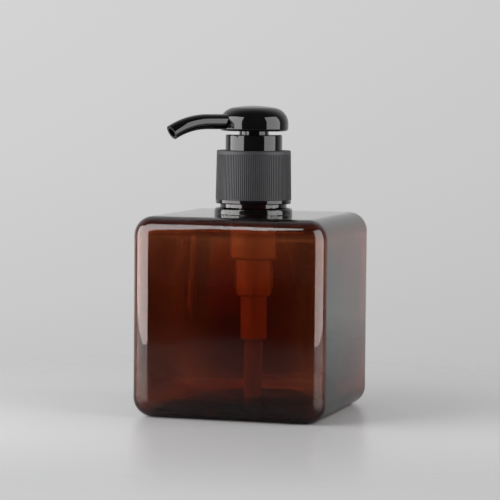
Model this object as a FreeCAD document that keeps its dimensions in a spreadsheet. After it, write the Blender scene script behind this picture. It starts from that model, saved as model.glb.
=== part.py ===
import FreeCAD, Part
import Sketcher
import math
import os
from types import SimpleNamespace

# Pump oil bottle: a square blow-moulded bottle with a screw-on lotion pump.
# Millimetres, +Z up. The origin is on the table under the middle of the bottle, whose faces are
# square to X and Y. The pump is modelled pressed down, as it is shipped and stored.

DRIVING_SIZES = [
    # Bottle
    ("body_width", 67.7, "width and depth of the bottle across its flats"),
    ("body_height", 68.5, "table to the flat top panel"),
    ("corner_radius", 7.0, "upright edges"),
    ("edge_radius", 6.6, "edges round the top panel and the base"),
    ("bottle_wall", 1.3, "blown wall"),
    ("base_thickness", 3.0, "floor of the bottle above the table"),
    ("push_up_radius", 22.0, "hollow under the base"),
    ("push_up_depth", 1.2, "depth of that hollow"),
    ("neck_height", 17.0, "top panel to the sealing face of the neck"),
    ("neck_wall", 1.5, "neck between its bore and the thread root"),
    ("support_ring_thickness", 2.3, "ring at the foot of the neck"),
    ("support_ring_overhang", 1.95, "ring beyond the plain bead above it"),
    ("support_ring_round", 1.1, "rounding of the ring's upper edge"),
    ("bead_height", 2.7, "plain bead between ring and thread"),
    ("bead_clearance", 0.3, "bead to the closure's bore, each side"),
    # Screw thread of the neck finish
    ("thread_root", 21.4, "diameter of the neck between the turns"),
    ("thread_depth", 1.0, "height of the thread above its root"),
    ("thread_pitch", 3.175, "rise of one turn, eight turns to the inch"),
    ("thread_turns", 1.5, "turns on the neck"),
    ("cap_thread_turns", 1.0, "turns inside the closure"),
    ("thread_crest_width", 0.9, "flat along the top of the thread"),
    ("thread_foot_width", 1.5, "width of the thread at its root"),
    ("thread_start_drop", 2.1, "sealing face down to the middle of the last turn"),
    ("thread_clearance", 0.2, "between the two threads, across and along"),
    ("thread_sink", 0.3, "how far a thread is rooted in its wall"),
    # Closure
    ("closure_wall_top", 0.95, "skirt at its top"),
    ("closure_wall_bottom", 1.23, "skirt at its lip"),
    ("closure_top_thickness", 1.25, "web that holds the pump down"),
    ("closure_band", 1.4, "plain bands above and below the ribs"),
    ("closure_edge", 0.35, "rounding of its outer edges"),
    ("closure_skirt_gap", 1.4, "support ring up to the lip"),
    ("rib_count", 114, "grip ribs round the skirt"),
    ("rib_height", 0.18, "rib above the skirt"),
    ("rib_foot_width", 0.5, "rib where it stands on the skirt"),
    ("rib_crest_width", 0.22, "flat along the top of a rib"),
    ("closure_play", 0.1, "closure to the chaplet's flange"),
    ("closure_hole_clearance", 0.2, "closure to the chaplet, each side"),
    # Gasket and housing
    ("gasket_thickness", 1.2, "foam seal on the neck"),
    ("gasket_clearance", 0.15, "seal to the barrel, each side"),
    ("flange_thickness", 1.2, "flange of the housing"),
    ("barrel_gap", 1.45, "neck bore to the barrel, each side"),
    ("barrel_wall", 1.1, "wall of the pump barrel"),
    ("barrel_length", 34.6, "flange down to the first step"),
    ("spring_section_length", 12.5, "part of the housing round the spring"),
    ("spring_section_wall", 0.7, "its wall"),
    ("spring_ledge", 1.0, "floor under the spring"),
    ("housing_rib_count", 4, "stiffening ribs beside the spring"),
    ("housing_rib_width", 1.2, "width of those ribs"),
    ("housing_rib_reach", 0.8, "ribs beyond the wall"),
    ("housing_rib_slope", 3.2, "height of the slope at a rib's foot"),
    ("housing_turn", 16.5, "degrees from +X to a rib, seen from above"),
    ("tube_socket_length", 14.7, "narrow foot of the housing"),
    ("tube_socket_wall", 1.2, "its wall round the dip tube"),
    ("step_chamfer", 0.6, "chamfers under the steps of the housing"),
    # Inlet valve
    ("inlet_ball_diameter", 4.8, "steel ball"),
    ("inlet_lift", 1.5, "how far the ball rises"),
    ("inlet_throat", 3.0, "hole under the ball"),
    ("throat_length", 1.4, "length of that hole"),
    ("ball_clearance", 0.4, "ball to its chamber, each side"),
    ("seat_play", 0.03, "ball to its seat and to its stop"),
    ("catch_bore", 4.0, "bore through the fins that keep the ball in"),
    ("catch_height", 0.8, "height of those fins"),
    ("catch_drop", 0.4, "fins below the spring's floor"),
    ("catch_notch", 1.8, "width of the gaps between the fins"),
    # Dip tube
    ("tube_diameter", 6.0, "outside of the dip tube"),
    ("tube_bore", 4.2, "inside of the dip tube"),
    ("tube_floor_gap", 2.4, "floor of the bottle to the end of the tube"),
    # Return spring
    ("spring_diameter", 9.0, "outside of the coil"),
    ("spring_wire", 0.9, "wire"),
    ("spring_turns", 8, "turns of the coil"),
    ("spring_clearance", 0.3, "coil to the housing, each side"),
    ("spring_end_play", 0.02, "coil to the faces that it presses on"),
    # Plunger
    ("stroke", 12.0, "travel of the head"),
    ("stroke_play", 0.25, "piston to the chaplet's sleeve at full height"),
    ("plunger_floor_gap", 0.7, "barrel floor to the valve seat, pressed down"),
    ("piston_height", 5.7, "height of the piston"),
    ("piston_play", 0.05, "running clearance of the piston"),
    ("piston_lip", 0.95, "height of its two sealing lips"),
    ("piston_waist", 1.3, "how far it is drawn in between the lips"),
    ("piston_groove", 0.5, "slope from lip to waist"),
    ("stem_diameter", 7.0, "outside of the stem"),
    ("stem_bore", 3.0, "passage in the stem"),
    ("stem_spigot", 5.8, "foot of the stem inside the piston"),
    ("seat_flange_thickness", 1.3, "flange under the piston"),
    ("seat_flange_inset", 0.1, "flange inside the coil's outside, each side"),
    ("seat_boss_length", 2.4, "boss that centres the spring"),
    ("seat_plug_length", 2.0, "plug pushed into the stem"),
    ("outlet_ball_diameter", 3.8, "steel ball"),
    ("outlet_lift", 1.5, "how far the ball rises"),
    ("outlet_throat", 2.4, "hole under the ball"),
    ("outlet_notch", 1.0, "width of the ways past the raised ball"),
    ("outlet_notch_height", 2.0, "height of those ways"),
    # Chaplet
    ("chaplet_flange", 1.3, "flange under the closure"),
    ("chaplet_height", 8.1, "housing flange to the chaplet's top"),
    ("chaplet_wall", 1.2, "moulded wall"),
    ("chaplet_core_gap", 1.25, "hollow between its outer wall and its throat"),
    ("chaplet_edge", 0.5, "rounding of its top edge"),
    ("sleeve_clearance", 0.15, "sleeve to the barrel, each side"),
    ("guide_clearance", 0.15, "stem to the guide web, each side"),
    ("guide_thickness", 1.5, "guide web for the stem"),
    ("throat_clearance", 0.4, "throat to the hub, each side"),
    # Lock between the head and the chaplet
    ("catch_ring_clearance", 0.3, "catch ring to the hub, each side"),
    ("catch_ring_thickness", 1.4, "ring that the lugs turn under"),
    ("lug_reach", 0.8, "lug beyond the hub"),
    ("lug_width", 3.0, "width of a lug"),
    ("lug_height", 1.8, "height of a lug"),
    ("lug_clearance", 0.3, "lug to its slot and to its chamber"),
    ("lug_root", 0.6, "how far a lug is rooted in the hub"),
    # Head
    ("head_gap", 1.25, "chaplet to the head's rim, pressed down"),
    ("head_diameter", 23.86, "dome of the head"),
    ("head_side", 2.6, "upright side of the dome"),
    ("head_shoulder", 5.6, "rounded shoulder of the dome"),
    ("head_crown_radius", 40.0, "gentle crown of the top"),
    ("head_rim_round", 1.0, "rounding of the lower rim"),
    ("head_wall", 1.43, "wall of the dome"),
    ("hub_wall", 1.6, "wall of the hub round the stem"),
    ("hub_play", 0.3, "hub to the guide web, pressed down"),
    ("stem_engagement", 1.35, "stem above the head's rim"),
    ("passage_overrun", 0.1, "passage above the spout's bore"),
    ("spout_height", 3.2, "middle of the spout above the rim"),
    ("spout_diameter", 5.2, "outside of the spout"),
    ("spout_wall", 1.0, "wall of the spout"),
    ("spout_straight", 18.4, "axis to the start of the bend"),
    ("spout_bend_radius", 27.0, "bend of the spout"),
    ("spout_bend_angle", 30.3, "degrees that the tip points down"),
    ("spout_direction", 225.8, "degrees from +X to the spout, seen from above"),
]

LEFT = 1
RIGHT = -1
FULL_TURN = 360
WAYS_PAST_A_BALL = 4
LOCK_LUGS = 2
FLAT_WITHIN = 0.001


class Size:
    """A number together with the spreadsheet expression that gives it."""

    def __init__(self, value, text):
        self.value = value
        self.text = text

    def __add__(self, other):
        return joined(self, "+", other, self.value + number(other))

    def __sub__(self, other):
        return joined(self, "-", other, self.value - number(other))

    def __mul__(self, other):
        return joined(self, "*", other, self.value * number(other))

    def __truediv__(self, other):
        return joined(self, "/", other, self.value / number(other))

    def __neg__(self):
        return Size(-self.value, f"(-{self.text})")


def number(size):
    return size.value if isinstance(size, Size) else size


def expression(size):
    return size.text if isinstance(size, Size) else repr(size)


def joined(first, sign, second, value):
    return Size(value, f"({expression(first)} {sign} {expression(second)})")


def leg(hypotenuse, side):
    """The other short side of a right triangle."""
    value = math.sqrt(number(hypotenuse) ** 2 - number(side) ** 2)
    return Size(value, f"sqrt({expression(hypotenuse)}^2 - {expression(side)}^2)")


def sine(angle):
    return Size(math.sin(math.radians(angle.value)), f"sin({angle.text} * 1deg)")


def cosine(angle):
    return Size(math.cos(math.radians(angle.value)), f"cos({angle.text} * 1deg)")


def filled_sheet(doc):
    """The spreadsheet of driving sizes, and the same sizes by name."""
    sheet = doc.addObject("Spreadsheet::Sheet", "Sizes")
    by_name = {}
    for row, (name, value, note) in enumerate(DRIVING_SIZES, start=1):
        sheet.set(f"A{row}", name)
        sheet.set(f"B{row}", str(value))
        sheet.setAlias(f"B{row}", name)
        sheet.set(f"C{row}", note)
        by_name[name] = Size(value, f"Sizes.{name}")
    doc.recompute()
    return SimpleNamespace(**by_name)


doc = FreeCAD.newDocument("pump_oil_bottle")
size = filled_sheet(doc)
ORIGIN = Size(0.0, "0")

# Heights, stacked from the table upwards
floor_z = size.base_thickness
panel_z = size.body_height
ring_top_z = panel_z + size.support_ring_thickness
bead_top_z = ring_top_z + size.bead_height
neck_top_z = panel_z + size.neck_height
gasket_top_z = neck_top_z + size.gasket_thickness
flange_top_z = gasket_top_z + size.flange_thickness
chaplet_flange_z = flange_top_z + size.chaplet_flange
closure_under_z = chaplet_flange_z + size.closure_play
closure_top_z = closure_under_z + size.closure_top_thickness
closure_lip_z = ring_top_z + size.closure_skirt_gap
chaplet_top_z = flange_top_z + size.chaplet_height
rim_z = chaplet_top_z + size.head_gap
hub_bottom_z = flange_top_z + size.hub_play
stem_top_z = rim_z + size.stem_engagement
spout_z = rim_z + size.spout_height

# Heights inside the housing, from its flange downwards
barrel_end_z = gasket_top_z - size.barrel_length
barrel_floor_z = barrel_end_z + size.barrel_wall
spring_end_z = barrel_end_z - size.spring_section_length
ledge_z = spring_end_z + size.spring_ledge
socket_end_z = spring_end_z - size.tube_socket_length
catch_top_z = ledge_z - size.catch_drop
catch_bottom_z = catch_top_z - size.catch_height
inlet_radius = size.inlet_ball_diameter / 2
inlet_raised_z = catch_bottom_z - leg(inlet_radius, size.catch_bore / 2) - size.seat_play
inlet_z = inlet_raised_z - size.inlet_lift
inlet_seat_z = inlet_z - leg(inlet_radius, size.inlet_throat / 2) - size.seat_play
tube_top_z = inlet_seat_z - size.throat_length

# Heights of the plunger, pressed down
seat_bottom_z = barrel_floor_z + size.plunger_floor_gap
seat_top_z = seat_bottom_z + size.seat_flange_thickness
piston_bottom_z = seat_top_z + size.piston_play
piston_top_z = piston_bottom_z + size.piston_height
stem_shoulder_z = piston_top_z + size.piston_play
sleeve_bottom_z = piston_top_z + size.stroke + size.stroke_play
plug_top_z = seat_top_z + size.seat_plug_length
outlet_radius = size.outlet_ball_diameter / 2
outlet_z = plug_top_z + leg(outlet_radius, size.outlet_throat / 2) + size.seat_play
outlet_raised_z = outlet_z + size.outlet_lift
outlet_stop_z = outlet_raised_z + leg(outlet_radius, size.stem_bore / 2) + size.seat_play

# Heights of the lock
catch_ring_z = chaplet_top_z - size.catch_ring_thickness
lug_top_z = catch_ring_z - size.lug_clearance
lug_bottom_z = lug_top_z - size.lug_height
lock_floor_z = lug_bottom_z - size.lug_clearance

# Radii, from the thread root inwards and outwards
root_r = size.thread_root / 2
crest_r = root_r + size.thread_depth
neck_bore_r = root_r - size.neck_wall
closure_bore_r = crest_r + size.thread_clearance
bead_r = closure_bore_r - size.bead_clearance
ring_r = bead_r + size.support_ring_overhang
closure_top_r = closure_bore_r + size.closure_wall_top
closure_lip_r = closure_bore_r + size.closure_wall_bottom
barrel_r = neck_bore_r - size.barrel_gap
barrel_bore_r = barrel_r - size.barrel_wall
spring_r = size.spring_diameter / 2
spring_bore_r = spring_r + size.spring_clearance
spring_section_r = spring_bore_r + size.spring_section_wall
tube_r = size.tube_diameter / 2
socket_r = tube_r + size.tube_socket_wall
ball_chamber_r = inlet_radius + size.ball_clearance
stem_r = size.stem_diameter / 2
outlet_chamber_r = outlet_radius + size.ball_clearance
hub_r = stem_r + size.hub_wall
lug_r = hub_r + size.lug_reach
lock_chamber_r = lug_r + size.lug_clearance
throat_wall_r = lock_chamber_r + size.chaplet_wall
core_r = throat_wall_r + size.chaplet_core_gap
chaplet_r = core_r + size.chaplet_wall
sleeve_r = barrel_bore_r - size.sleeve_clearance
head_r = size.head_diameter / 2


# Helpers for bodies and sketches

def new_body(label):
    body = doc.addObject("PartDesign::Body", label)
    body.Label = label
    return body


def origin_feature(body, role):
    return next(feature for feature in body.Origin.OriginFeatures if feature.Role == role)


def new_sketch(body, name, role, offset=None):
    """A sketch on one of the body's own origin planes, moved off it by offset."""
    sketch = body.newObject("Sketcher::SketchObject", name)
    sketch.AttachmentSupport = [(origin_feature(body, role), "")]
    sketch.MapMode = "FlatFace"
    if offset is not None:
        sketch.setExpression("AttachmentOffset.Base.z", offset.text)
    return sketch


def bind(sketch, constraint, size_of_it):
    index = sketch.addConstraint(constraint)
    sketch.setExpression(f"Constraints[{index}]", size_of_it.text)


def arc_between(start, end, radius, side):
    """The arc of under a half circle from start to end, its centre to the left or the right."""
    chord = end - start
    to_the_left = FreeCAD.Vector(-chord.y, chord.x, 0).normalize()
    reach = math.sqrt(radius ** 2 - (chord.Length / 2) ** 2)
    centre = start + chord * 0.5 + to_the_left * reach * side
    circle = Part.Circle(centre, FreeCAD.Vector(0, 0, 1), radius)
    first, last = (start, end) if side == LEFT else (end, start)
    angles = [math.atan2(point.y - centre.y, point.x - centre.x) for point in (first, last)]
    return Part.ArcOfCircle(circle, angles[0], angles[1])


def draw_path(sketch, points, closed):
    """Lines and arcs through points, each held in place by sizes from the sheet.

    A point is (x, y), or (x, y, radius, side) where an arc leads to it and turns to that side.
    """
    places = [FreeCAD.Vector(point[0].value, point[1].value, 0) for point in points]
    count = len(points) if closed else len(points) - 1
    starts = []
    ends = []
    for step in range(count):
        following = (step + 1) % len(points)
        target = points[following]
        if len(target) == 4:
            radius, side = target[2:]
            arc = arc_between(places[step], places[following], radius.value, side)
            edge = sketch.addGeometry(arc, False)
            bind(sketch, Sketcher.Constraint("Radius", edge, radius.value), radius)
            starts.append((edge, 1 if side == LEFT else 2))
            ends.append((edge, 2 if side == LEFT else 1))
        else:
            edge = sketch.addGeometry(Part.LineSegment(places[step], places[following]), False)
            starts.append((edge, 1))
            ends.append((edge, 2))
    for step in range(1, count):
        sketch.addConstraint(Sketcher.Constraint("Coincident", *ends[step - 1], *starts[step]))
    corners = list(starts)
    if closed:
        sketch.addConstraint(Sketcher.Constraint("Coincident", *ends[-1], *starts[0]))
    else:
        corners.append(ends[-1])
    for (edge, end), point in zip(corners, points):
        hold_point(sketch, edge, end, point[0], point[1])


def hold_point(sketch, edge, end, x, y):
    for axis, kind, place in ((-2, "DistanceX", x), (-1, "DistanceY", y)):
        if place is ORIGIN:
            sketch.addConstraint(Sketcher.Constraint("PointOnObject", edge, end, axis))
        else:
            bind(sketch, Sketcher.Constraint(kind, -1, 1, edge, end, place.value), place)


def draw_circle(sketch, x, y, radius):
    circle = Part.Circle(FreeCAD.Vector(x.value, y.value, 0), FreeCAD.Vector(0, 0, 1), radius.value)
    edge = sketch.addGeometry(circle, False)
    hold_point(sketch, edge, 3, x, y)
    bind(sketch, Sketcher.Constraint("Radius", edge, radius.value), radius)


def rectangle(left, right, half_width):
    return [(left, -half_width), (right, -half_width), (right, half_width), (left, half_width)]


def revolved(body, outline):
    """A solid of revolution about Z, from an outline of (radius, height) points."""
    sketch = new_sketch(body, "outline", "XZ_Plane")
    draw_path(sketch, outline, closed=True)
    feature = body.newObject("PartDesign::Revolution", "turned")
    feature.Profile = sketch
    feature.ReferenceAxis = (sketch, ["V_Axis"])
    feature.Angle = FULL_TURN
    doc.recompute()
    return feature


def extruded(body, kind, outline, start_z, height, downwards=False, lean=None):
    """A Pad or Pocket of an outline in plan, from start_z, which can lean along X as it rises."""
    sketch = new_sketch(body, "plan", "XY_Plane", start_z)
    draw_path(sketch, outline, closed=True)
    feature = body.newObject(f"PartDesign::{kind}", kind.lower())
    feature.Profile = sketch
    feature.setExpression("Length", height.text)
    feature.Reversed = downwards if kind == "Pad" else not downwards
    if lean is not None:
        feature.UseCustomVector = True
        feature.Direction = FreeCAD.Vector(lean.value, 0, 1)
        feature.setExpression("Direction.x", lean.text)
    doc.recompute()
    return feature


def upright_rib(body, outline, width):
    """A rib as wide on both sides of the XZ plane, from its outline of (radius, height) points."""
    sketch = new_sketch(body, "rib_outline", "XZ_Plane")
    draw_path(sketch, outline, closed=True)
    rib = body.newObject("PartDesign::Pad", "rib")
    rib.Profile = sketch
    rib.SideType = "Symmetric"
    rib.setExpression("Length", width.text)
    doc.recompute()
    return rib


def spread(body, feature, count):
    """Copies of a feature evenly round the Z axis."""
    pattern = body.newObject("PartDesign::PolarPattern", "round_the_axis")
    pattern.Originals = [feature]
    pattern.Axis = (origin_feature(body, "Z_Axis"), [""])
    pattern.Angle = FULL_TURN
    if isinstance(count, Size):
        pattern.setExpression("Occurrences", count.text)
    else:
        pattern.Occurrences = count
    body.Tip = pattern
    doc.recompute()


def threaded(body, profile, turns):
    """A screw thread about Z, swept from a profile in the XZ plane."""
    sketch = new_sketch(body, "thread_profile", "XZ_Plane")
    draw_path(sketch, profile, closed=True)
    feature = body.newObject("PartDesign::AdditiveHelix", "thread")
    feature.Profile = sketch
    feature.ReferenceAxis = (sketch, ["V_Axis"])
    feature.Mode = "pitch-turns-angle"
    feature.setExpression("Pitch", size.thread_pitch.text)
    feature.setExpression("Turns", turns.text)
    doc.recompute()
    return feature


def sphere(label, radius, height):
    ball = doc.addObject("Part::Sphere", label)
    ball.Label = label
    ball.setExpression("Radius", radius.text)
    ball.setExpression("Placement.Base.z", height.text)
    return ball


def turn_to(part, direction):
    """Turn a piece that is drawn with its front along +X to a direction in plan."""
    part.Placement = FreeCAD.Placement(FreeCAD.Vector(), FreeCAD.Rotation(FreeCAD.Vector(0, 0, 1), 0))
    part.setExpression("Placement.Rotation.Angle", f"{direction.text} * 1deg")


# Bottle

def rounded_square(half, radius):
    """A square with round corners, drawn anticlockwise."""
    flat = half - radius
    return [
        (half, -flat, radius, LEFT),
        (half, flat),
        (flat, half, radius, LEFT),
        (-flat, half),
        (-half, flat, radius, LEFT),
        (-half, -flat),
        (-flat, -half, radius, LEFT),
        (flat, -half),
    ]


def bottle_block(label, half, radius, bottom_z, height, edge):
    """A square block with round corners, its top and bottom edges rounded."""
    body = new_body(label)
    pad = extruded(body, "Pad", rounded_square(half, radius), bottom_z, height)
    flat_edges = [
        f"Edge{place}"
        for place, each in enumerate(pad.Shape.Edges, start=1)
        if each.BoundBox.ZLength < FLAT_WITHIN
    ]
    fillet = body.newObject("PartDesign::Fillet", "rounded")
    fillet.Base = (pad, flat_edges)
    fillet.setExpression("Radius", edge.text)
    doc.recompute()
    return body


def make_bottle():
    half = size.body_width / 2
    outside = bottle_block("bottle_outside", half, size.corner_radius, ORIGIN, size.body_height,
                           size.edge_radius)
    rim = size.support_ring_round
    revolved(outside, [
        (ORIGIN, panel_z - size.bottle_wall / 2),
        (ring_r, panel_z - size.bottle_wall / 2),
        (ring_r, ring_top_z - rim),
        (ring_r - rim, ring_top_z, rim, LEFT),
        (bead_r, ring_top_z),
        (bead_r, bead_top_z),
        (root_r, bead_top_z),
        (root_r, neck_top_z),
        (ORIGIN, neck_top_z),
    ])
    thread_low_z = neck_top_z - size.thread_start_drop - size.thread_pitch * size.thread_turns
    foot = size.thread_foot_width / 2
    crest = size.thread_crest_width / 2
    threaded(outside, [
        (root_r - size.thread_sink, thread_low_z - foot),
        (root_r, thread_low_z - foot),
        (crest_r, thread_low_z - crest),
        (crest_r, thread_low_z + crest),
        (root_r, thread_low_z + foot),
        (root_r - size.thread_sink, thread_low_z + foot),
    ], size.thread_turns)

    wall = size.bottle_wall
    inside = bottle_block("bottle_inside", half - wall, size.corner_radius - wall, floor_z,
                          size.body_height - wall - floor_z, size.edge_radius - wall)
    inside_top_z = panel_z - wall
    revolved(inside, [
        (ORIGIN, inside_top_z - wall),
        (neck_bore_r, inside_top_z - wall),
        (neck_bore_r, neck_top_z + wall),
        (ORIGIN, neck_top_z + wall),
    ])
    hollow = doc.addObject("Part::Cut", "hollow_bottle")
    hollow.Base = outside
    hollow.Tool = inside
    push_up = doc.addObject("Part::Cylinder", "push_up")
    push_up.setExpression("Radius", size.push_up_radius.text)
    push_up.setExpression("Height", size.push_up_depth.text)
    bottle = doc.addObject("Part::Cut", "bottle")
    bottle.Label = "bottle"
    bottle.Base = hollow
    bottle.Tool = push_up
    return bottle


# Closure

def make_closure():
    closure = new_body("closure")
    edge = size.closure_edge
    band = size.closure_band
    hole_r = chaplet_r + size.closure_hole_clearance
    revolved(closure, [
        (closure_bore_r, closure_lip_z),
        (closure_lip_r - edge, closure_lip_z),
        (closure_lip_r, closure_lip_z + edge, edge, LEFT),
        (closure_lip_r, closure_lip_z + band),
        (closure_lip_r - size.rib_height, closure_lip_z + band),
        (closure_top_r - size.rib_height, closure_top_z - band),
        (closure_top_r, closure_top_z - band),
        (closure_top_r, closure_top_z - edge),
        (closure_top_r - edge, closure_top_z, edge, LEFT),
        (hole_r, closure_top_z),
        (hole_r, closure_under_z),
        (closure_bore_r, closure_under_z),
    ])
    # The closure's thread lies half a turn up the neck's helix, in the gap between its turns.
    gap_foot = size.thread_pitch - size.thread_foot_width - size.thread_clearance * 2
    gap_crest = size.thread_pitch - size.thread_crest_width - size.thread_clearance * 2
    low_z = neck_top_z - size.thread_start_drop - size.thread_pitch * size.cap_thread_turns
    tip_r = root_r + size.thread_clearance
    threaded(closure, [
        (tip_r, low_z - gap_foot / 2),
        (crest_r, low_z - gap_crest / 2),
        (closure_bore_r + size.thread_sink, low_z - gap_crest / 2),
        (closure_bore_r + size.thread_sink, low_z + gap_crest / 2),
        (crest_r, low_z + gap_crest / 2),
        (tip_r, low_z + gap_foot / 2),
    ], size.cap_thread_turns)
    # One rib leans with the skirt, from band to band, and stands as proud as the bands.
    rib_z = closure_lip_z + band
    rib_rise = closure_top_z - band - rib_z
    foot_r = closure_lip_r - size.rib_height
    foot = size.rib_foot_width / 2
    crest = size.rib_crest_width / 2
    rib = extruded(closure, "Pad", [
        (foot_r - size.rib_height, -foot),
        (foot_r, -foot),
        (closure_lip_r, -crest),
        (closure_lip_r, crest),
        (foot_r, foot),
        (foot_r - size.rib_height, foot),
    ], rib_z, rib_rise, lean=(closure_top_r - closure_lip_r) / rib_rise)
    spread(closure, rib, size.rib_count)
    return closure


# Gasket

def make_gasket():
    gasket = new_body("gasket")
    inner_r = barrel_r + size.gasket_clearance
    revolved(gasket, [
        (inner_r, neck_top_z),
        (root_r, neck_top_z),
        (root_r, gasket_top_z),
        (inner_r, gasket_top_z),
    ])
    return gasket


# Housing with its inlet valve seat

def make_housing():
    housing = new_body("housing")
    cut = size.step_chamfer
    throat_r = size.inlet_throat / 2
    catch_r = size.catch_bore / 2
    revolved(housing, [
        (tube_r, socket_end_z),
        (socket_r - cut, socket_end_z),
        (socket_r, socket_end_z + cut),
        (socket_r, spring_end_z),
        (spring_section_r - cut, spring_end_z),
        (spring_section_r, spring_end_z + cut),
        (spring_section_r, barrel_end_z),
        (barrel_r - cut, barrel_end_z),
        (barrel_r, barrel_end_z + cut),
        (barrel_r, gasket_top_z),
        (root_r, gasket_top_z),
        (root_r, flange_top_z),
        (barrel_bore_r, flange_top_z),
        (barrel_bore_r, barrel_floor_z),
        (spring_bore_r, barrel_floor_z),
        (spring_bore_r, ledge_z),
        (ball_chamber_r, ledge_z),
        (ball_chamber_r, catch_top_z),
        (catch_r, catch_top_z),
        (catch_r, catch_bottom_z),
        (ball_chamber_r, catch_bottom_z),
        (ball_chamber_r, inlet_seat_z),
        (throat_r, inlet_seat_z),
        (throat_r, tube_top_z),
        (tube_r, tube_top_z),
    ])
    notch = extruded(housing, "Pocket", rectangle(catch_r / 2, ball_chamber_r, size.catch_notch / 2),
                     catch_top_z, size.catch_height, downwards=True)
    spread(housing, notch, WAYS_PAST_A_BALL)
    rib_root_r = spring_bore_r + size.spring_section_wall / 2
    rib_r = spring_section_r + size.housing_rib_reach
    rib = upright_rib(housing, [
        (rib_root_r, spring_end_z + cut),
        (spring_section_r, spring_end_z + cut),
        (rib_r, spring_end_z + size.housing_rib_slope),
        (rib_r, barrel_end_z),
        (rib_root_r, barrel_end_z),
    ], size.housing_rib_width)
    spread(housing, rib, size.housing_rib_count)
    turn_to(housing, size.housing_turn)
    return housing


# Dip tube

def make_dip_tube():
    tube = new_body("dip_tube")
    bore_r = size.tube_bore / 2
    end_z = floor_z + size.tube_floor_gap
    revolved(tube, [(bore_r, end_z), (tube_r, end_z), (tube_r, tube_top_z), (bore_r, tube_top_z)])
    return tube


# Return spring

def helix_point(turn, radius, low_z, pitch):
    angle = 2 * math.pi * turn
    return FreeCAD.Vector(radius * math.cos(angle), radius * math.sin(angle), low_z + pitch * turn)


def helix_direction(turn, radius, pitch):
    angle = 2 * math.pi * turn
    sideways = 2 * math.pi * radius
    return FreeCAD.Vector(-sideways * math.sin(angle), sideways * math.cos(angle), pitch).normalize()


def tangent_arc(start, corner, end):
    """The arc from start to end whose end tangents meet at corner."""
    middle = (start + end) * 0.5
    half_chord = (end - start).Length / 2
    towards = corner - middle
    slope = math.atan2(towards.Length, half_chord)
    rise = half_chord * math.tan(slope / 2)
    return Part.Arc(start, middle + towards.normalize() * rise, end).toShape()


def biarc(start, start_way, end, end_way):
    """Two arcs that leave start and reach end in the given directions."""
    chord = end - start
    both = start_way + end_way
    bend = 2 * (1 - start_way.dot(end_way))
    along = chord.dot(both)
    reach = (math.sqrt(along ** 2 + bend * chord.dot(chord)) - along) / bend
    first_corner = start + start_way * reach
    last_corner = end - end_way * reach
    middle = (first_corner + last_corner) * 0.5
    return [tangent_arc(start, first_corner, middle), tangent_arc(middle, last_corner, end)]


def make_return_spring():
    """One unbroken coil, squeezed between the housing's ledge and the valve seat."""
    steps_a_turn = 4
    wire = size.spring_wire.value
    radius = spring_r.value - wire / 2
    turns = int(size.spring_turns.value)
    low_z = ledge_z.value + wire / 2 + size.spring_end_play.value
    high_z = seat_bottom_z.value - wire / 2 - size.spring_end_play.value
    pitch = (high_z - low_z) / turns
    edges = []
    for step in range(turns * steps_a_turn):
        now = step / steps_a_turn
        later = (step + 1) / steps_a_turn
        edges += biarc(
            helix_point(now, radius, low_z, pitch),
            helix_direction(now, radius, pitch),
            helix_point(later, radius, low_z, pitch),
            helix_direction(later, radius, pitch),
        )
    path = Part.Wire(edges)
    section = Part.Circle(helix_point(0, radius, low_z, pitch),
                          helix_direction(0, radius, pitch), wire / 2)
    shell = Part.BRepOffsetAPI.MakePipeShell(path)
    shell.add(Part.Wire(section.toShape()))
    shell.build()
    shell.makeSolid()
    spring = doc.addObject("Part::Feature", "return_spring")
    spring.Label = "return_spring"
    spring.Shape = shell.shape()
    spring.Placement = FreeCAD.Placement()
    print(f"return spring: least gap {coil_gap(turns, radius, low_z, pitch, wire):.2f} mm,",
          f"volume {spring.Shape.Volume:.1f} of {math.pi * wire ** 2 / 4 * path.Length:.1f} mm3")
    return spring


def coil_gap(turns, radius, low_z, pitch, wire):
    """The least gap between points of the coil that lie half a turn or more apart."""
    points_a_turn = 24
    places = [helix_point(step / points_a_turn, radius, low_z, pitch)
              for step in range(turns * points_a_turn + 1)]
    return min((places[one] - places[other]).Length - wire
               for one in range(len(places))
               for other in range(one + points_a_turn // 2, len(places)))


# Piston and the valve seat that holds it on the stem

def make_piston():
    piston = new_body("piston")
    inner_r = size.stem_spigot / 2 + size.piston_play
    outer_r = barrel_bore_r - size.piston_play
    waist_r = outer_r - size.piston_waist
    revolved(piston, [
        (inner_r, piston_bottom_z),
        (outer_r, piston_bottom_z),
        (outer_r, piston_bottom_z + size.piston_lip),
        (waist_r, piston_bottom_z + size.piston_lip + size.piston_groove),
        (waist_r, piston_top_z - size.piston_lip - size.piston_groove),
        (outer_r, piston_top_z - size.piston_lip),
        (outer_r, piston_top_z),
        (inner_r, piston_top_z),
    ])
    return piston


def make_piston_seat():
    seat = new_body("piston_seat")
    throat_r = size.outlet_throat / 2
    flange_r = spring_r - size.seat_flange_inset
    boss_r = spring_r - size.spring_wire - size.spring_clearance
    boss_end_z = seat_bottom_z - size.seat_boss_length
    revolved(seat, [
        (throat_r, boss_end_z),
        (boss_r, boss_end_z),
        (boss_r, seat_bottom_z),
        (flange_r, seat_bottom_z),
        (flange_r, seat_top_z),
        (outlet_chamber_r, seat_top_z),
        (outlet_chamber_r, plug_top_z),
        (throat_r, plug_top_z),
    ])
    return seat


# Stem

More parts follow.
